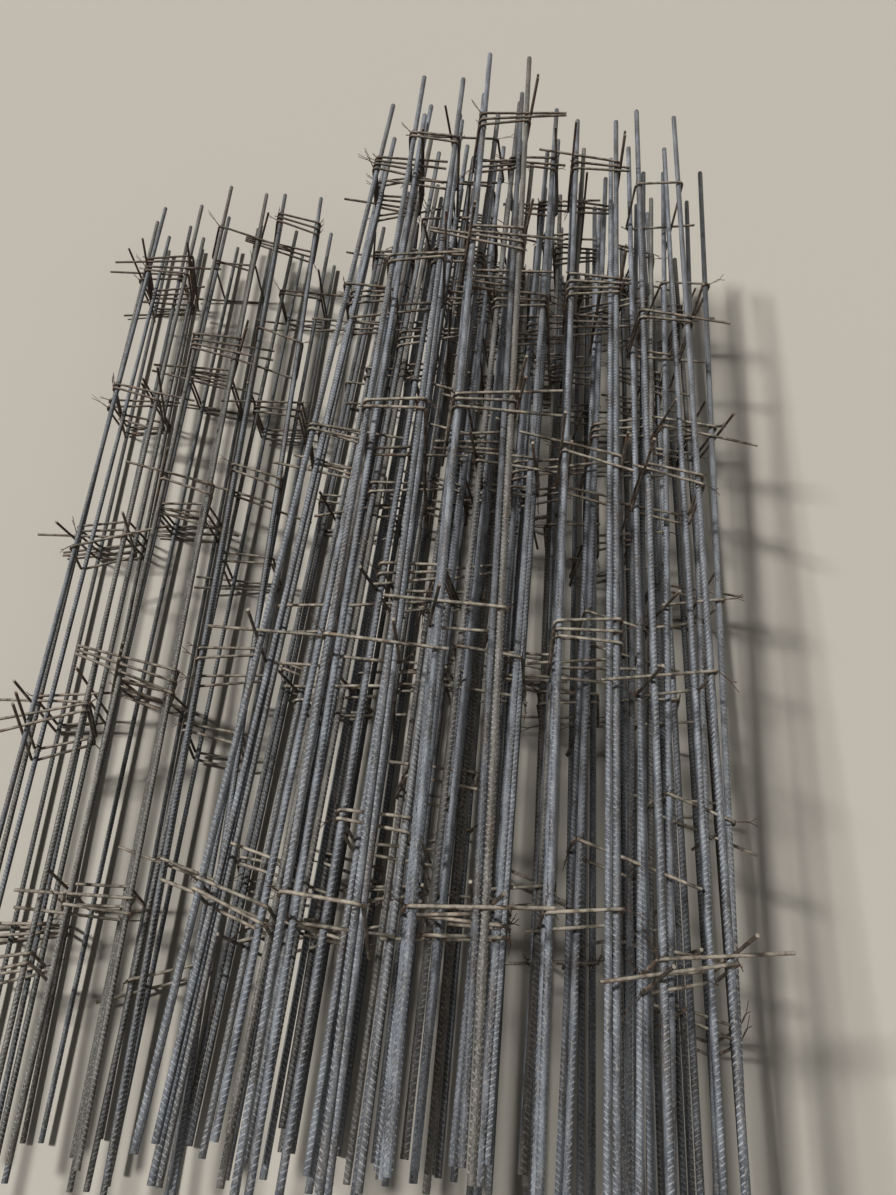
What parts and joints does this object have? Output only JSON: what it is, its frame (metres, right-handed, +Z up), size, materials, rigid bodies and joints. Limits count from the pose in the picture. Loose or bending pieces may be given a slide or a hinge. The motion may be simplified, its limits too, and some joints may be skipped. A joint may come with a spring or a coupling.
{
  "type": "stack of rebar cages",
  "caption": "Heap of prefabricated square column cages: long ribbed steel bars inside closed wire ties, thrown down side by side and on top of each other.",
  "frame": {"origin": "middle of the heap's box, on the floor", "axes": "+Y along the bars, from the near ends to the far ends; +Z up"},
  "size_m": [1.9298, 2.9168, 0.8009],
  "materials": {
    "ribbed_bar": "hot-rolled, mill scale with light rust",
    "tie_wire": "rusted wire rod"
  },
  "bodies": {
    "root": {"main_cage_01_bars": "ribbed_bar", "main_cage_01_ties": "tie_wire", "main_cage_02_bars": "ribbed_bar", "main_cage_02_ties": "tie_wire", "main_cage_03_bars": "ribbed_bar", "main_cage_03_ties": "tie_wire", "main_cage_04_bars": "ribbed_bar", "main_cage_04_ties": "tie_wire", "main_cage_05_bars": "ribbed_bar", "main_cage_05_ties": "tie_wire", "main_cage_06_bars": "ribbed_bar", "main_cage_06_ties": "tie_wire", "main_cage_07_bars": "ribbed_bar", "main_cage_07_ties": "tie_wire", "main_cage_08_bars": "ribbed_bar", "main_cage_08_ties": "tie_wire", "main_cage_09_bars": "ribbed_bar", "main_cage_09_ties": "tie_wire", "main_cage_10_bars": "ribbed_bar", "main_cage_10_ties": "tie_wire", "main_cage_11_bars": "ribbed_bar", "main_cage_11_ties": "tie_wire", "main_cage_12_bars": "ribbed_bar", "main_cage_12_ties": "tie_wire", "main_cage_13_bars": "ribbed_bar", "main_cage_13_ties": "tie_wire", "main_cage_14_bars": "ribbed_bar", "main_cage_14_ties": "tie_wire", "main_cage_15_bars": "ribbed_bar", "main_cage_15_ties": "tie_wire", "main_cage_16_bars": "ribbed_bar", "main_cage_16_ties": "tie_wire", "main_cage_17_bars": "ribbed_bar", "main_cage_17_ties": "tie_wire", "main_cage_18_bars": "ribbed_bar", "main_cage_18_ties": "tie_wire", "main_cage_19_bars": "ribbed_bar", "main_cage_19_ties": "tie_wire", "main_cage_20_bars": "ribbed_bar", "main_cage_20_ties": "tie_wire", "main_cage_21_bars": "ribbed_bar", "main_cage_21_ties": "tie_wire", "main_cage_22_bars": "ribbed_bar", "main_cage_22_ties": "tie_wire", "main_cage_23_bars": "ribbed_bar", "main_cage_23_ties": "tie_wire", "main_cage_24_bars": "ribbed_bar", "main_cage_24_ties": "tie_wire", "side_cage_01_bars": "ribbed_bar", "side_cage_01_ties": "tie_wire", "side_cage_02_bars": "ribbed_bar", "side_cage_02_ties": "tie_wire", "side_cage_03_bars": "ribbed_bar", "side_cage_03_ties": "tie_wire", "side_cage_04_bars": "ribbed_bar", "side_cage_04_ties": "tie_wire", "side_cage_05_bars": "ribbed_bar", "side_cage_05_ties": "tie_wire", "side_cage_06_bars": "ribbed_bar", "side_cage_06_ties": "tie_wire"}
  },
  "joints": []
}
